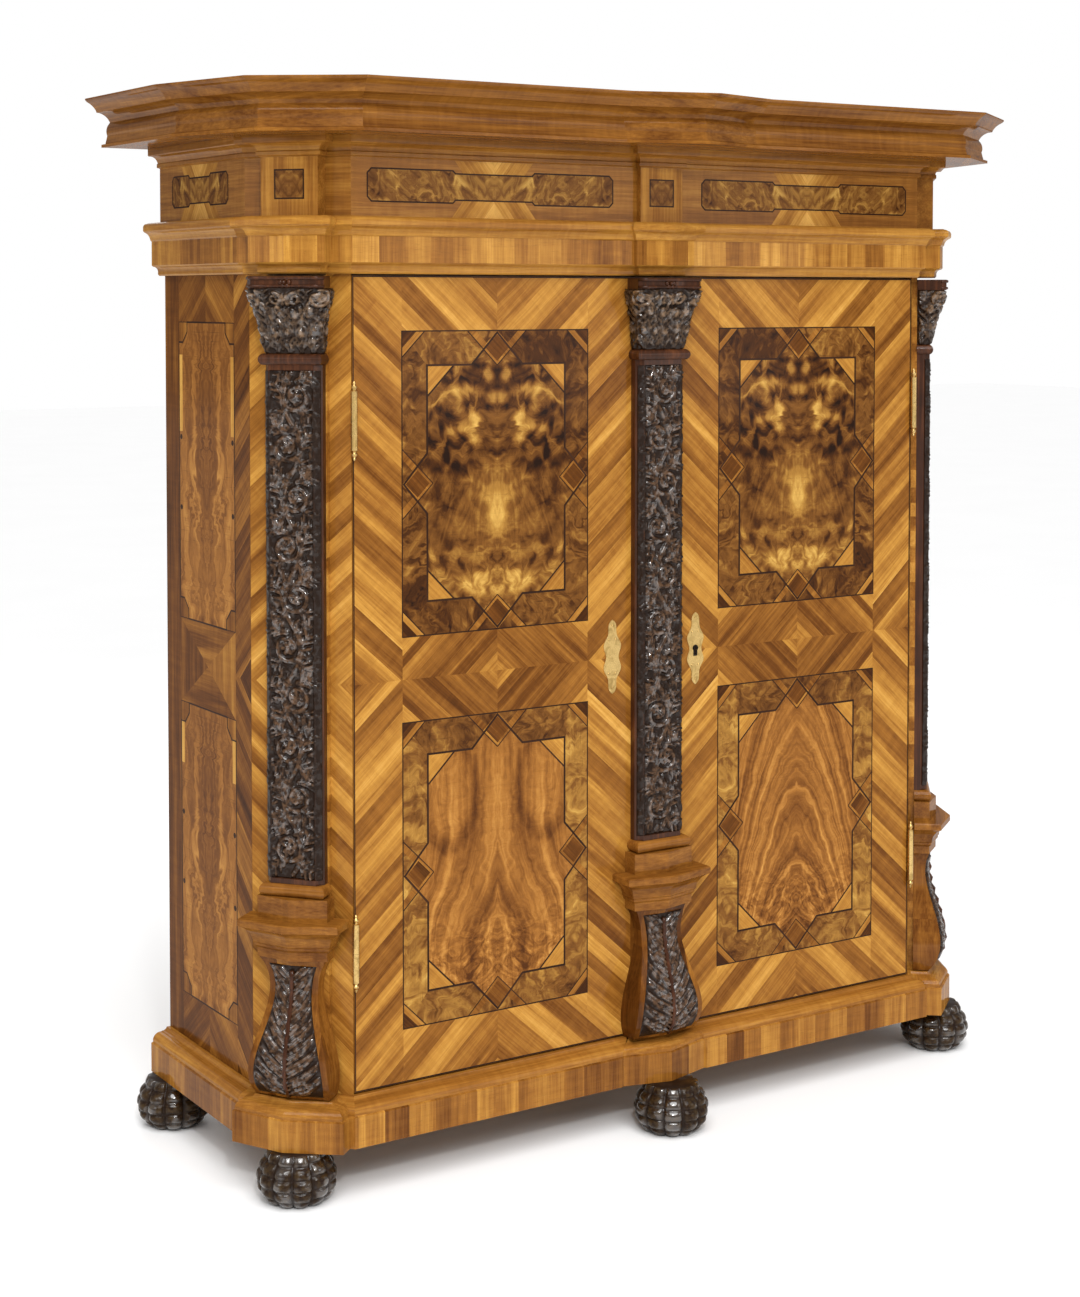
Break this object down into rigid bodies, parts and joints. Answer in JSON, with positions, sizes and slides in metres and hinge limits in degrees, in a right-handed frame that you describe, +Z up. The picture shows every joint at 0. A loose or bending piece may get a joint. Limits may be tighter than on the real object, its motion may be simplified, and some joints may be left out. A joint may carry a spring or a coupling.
{
  "type": "hall cupboard",
  "caption": "Tall hall cupboard with hinged doors, canted corners, carved pilasters, a broken-out cornice and plinth on paw feet, shelves inside, a box lock and slide bolts.",
  "frame": {"origin": "on the floor, under the middle of the overall box", "axes": "+Z up, +X to the right as seen from the front, the doors face -Y"},
  "size_m": [2.07, 0.8112, 2.171],
  "materials": {
    "walnut": "polished figured veneer",
    "door_veneer": "polished marquetry of burr and straight-grained veneer",
    "dark_carving": "carved and ebonised, waxed to a gloss",
    "paw_feet": "carved and ebonised, waxed",
    "inner_wood": "plain planed boards",
    "brass": "polished, a little worn",
    "iron": "dark forged iron"
  },
  "bodies": {
    "carcass": {"plinth_side_left": "walnut", "plinth_side_right": "walnut", "plinth_corner_left": "walnut", "plinth_corner_right": "walnut", "plinth_front": "walnut", "architrave_side_left": "walnut", "architrave_side_right": "walnut", "architrave_corner_left": "walnut", "architrave_corner_right": "walnut", "architrave_front": "walnut", "frieze_side_left": "walnut", "frieze_side_right": "walnut", "frieze_corner_left": "walnut", "frieze_corner_right": "walnut", "frieze_front": "walnut", "cornice_side_left": "walnut", "cornice_side_right": "walnut", "cornice_corner_left": "walnut", "cornice_corner_right": "walnut", "cornice_front": "walnut", "corner_post_left": "walnut", "corner_post_right": "walnut", "side_panel_left": "walnut", "side_panel_right": "walnut", "plinth_rear_rail": "inner_wood", "crown_rear_rail": "inner_wood", "dust_board": "inner_wood", "floor_board": "inner_wood", "top_board": "inner_wood", "back_boards": "inner_wood", "shelves": "inner_wood", "shelf_cleats": "inner_wood", "foot_blocks": "inner_wood", "pedestal_left": "dark_carving", "pedestal_right": "dark_carving", "pilaster_shaft_left": "dark_carving", "pilaster_shaft_right": "dark_carving", "capital_left": "dark_carving", "capital_right": "dark_carving", "pilaster_base_left": "walnut", "pilaster_base_right": "walnut", "front_feet": "paw_feet", "rear_feet": "paw_feet", "hinge_pintles": "brass"},
    "left_door": {"door_left": "door_veneer", "hinge_knuckles_left": "brass", "escutcheon_left": "brass", "lock_keeper": "iron", "bolt_guides": "iron"},
    "right_door": {"door_right": "door_veneer", "hinge_knuckles_right": "brass", "escutcheon_right": "brass", "lock_case": "iron", "pilaster_base_centre": "walnut", "pedestal_centre": "dark_carving", "pilaster_shaft_centre": "dark_carving", "capital_centre": "dark_carving"},
    "lock_bolt": {"lock_bolt": "iron"},
    "top_bolt": {"top_bolt": "iron"},
    "bottom_bolt": {"bottom_bolt": "iron"}
  },
  "joints": [
    {"name": "right_door_hinge", "type": "hinge", "parent": "carcass", "child": "right_door", "pos_m": [0.7208, -0.18537, 1], "axis": [0, 0, 1], "range_deg": [0, 110]},
    {"name": "left_door_hinge", "type": "hinge", "parent": "carcass", "child": "left_door", "pos_m": [-0.7208, -0.18537, 1], "axis": [0, 0, -1], "range_deg": [0, 110]},
    {"name": "lock_bolt_slide", "type": "slide", "parent": "right_door", "child": "lock_bolt", "axis": [-1, 0, 0], "range_m": [0, 0.022]},
    {"name": "top_bolt_slide", "type": "slide", "parent": "left_door", "child": "top_bolt", "axis": [0, 0, 1], "range_m": [0, 0.02]},
    {"name": "bottom_bolt_slide", "type": "slide", "parent": "left_door", "child": "bottom_bolt", "axis": [0, 0, -1], "range_m": [0, 0.02]}
  ],
  "couplings": [
    {"joint": "left_door_hinge", "follows": "right_door_hinge", "ratio": 1}
  ]
}
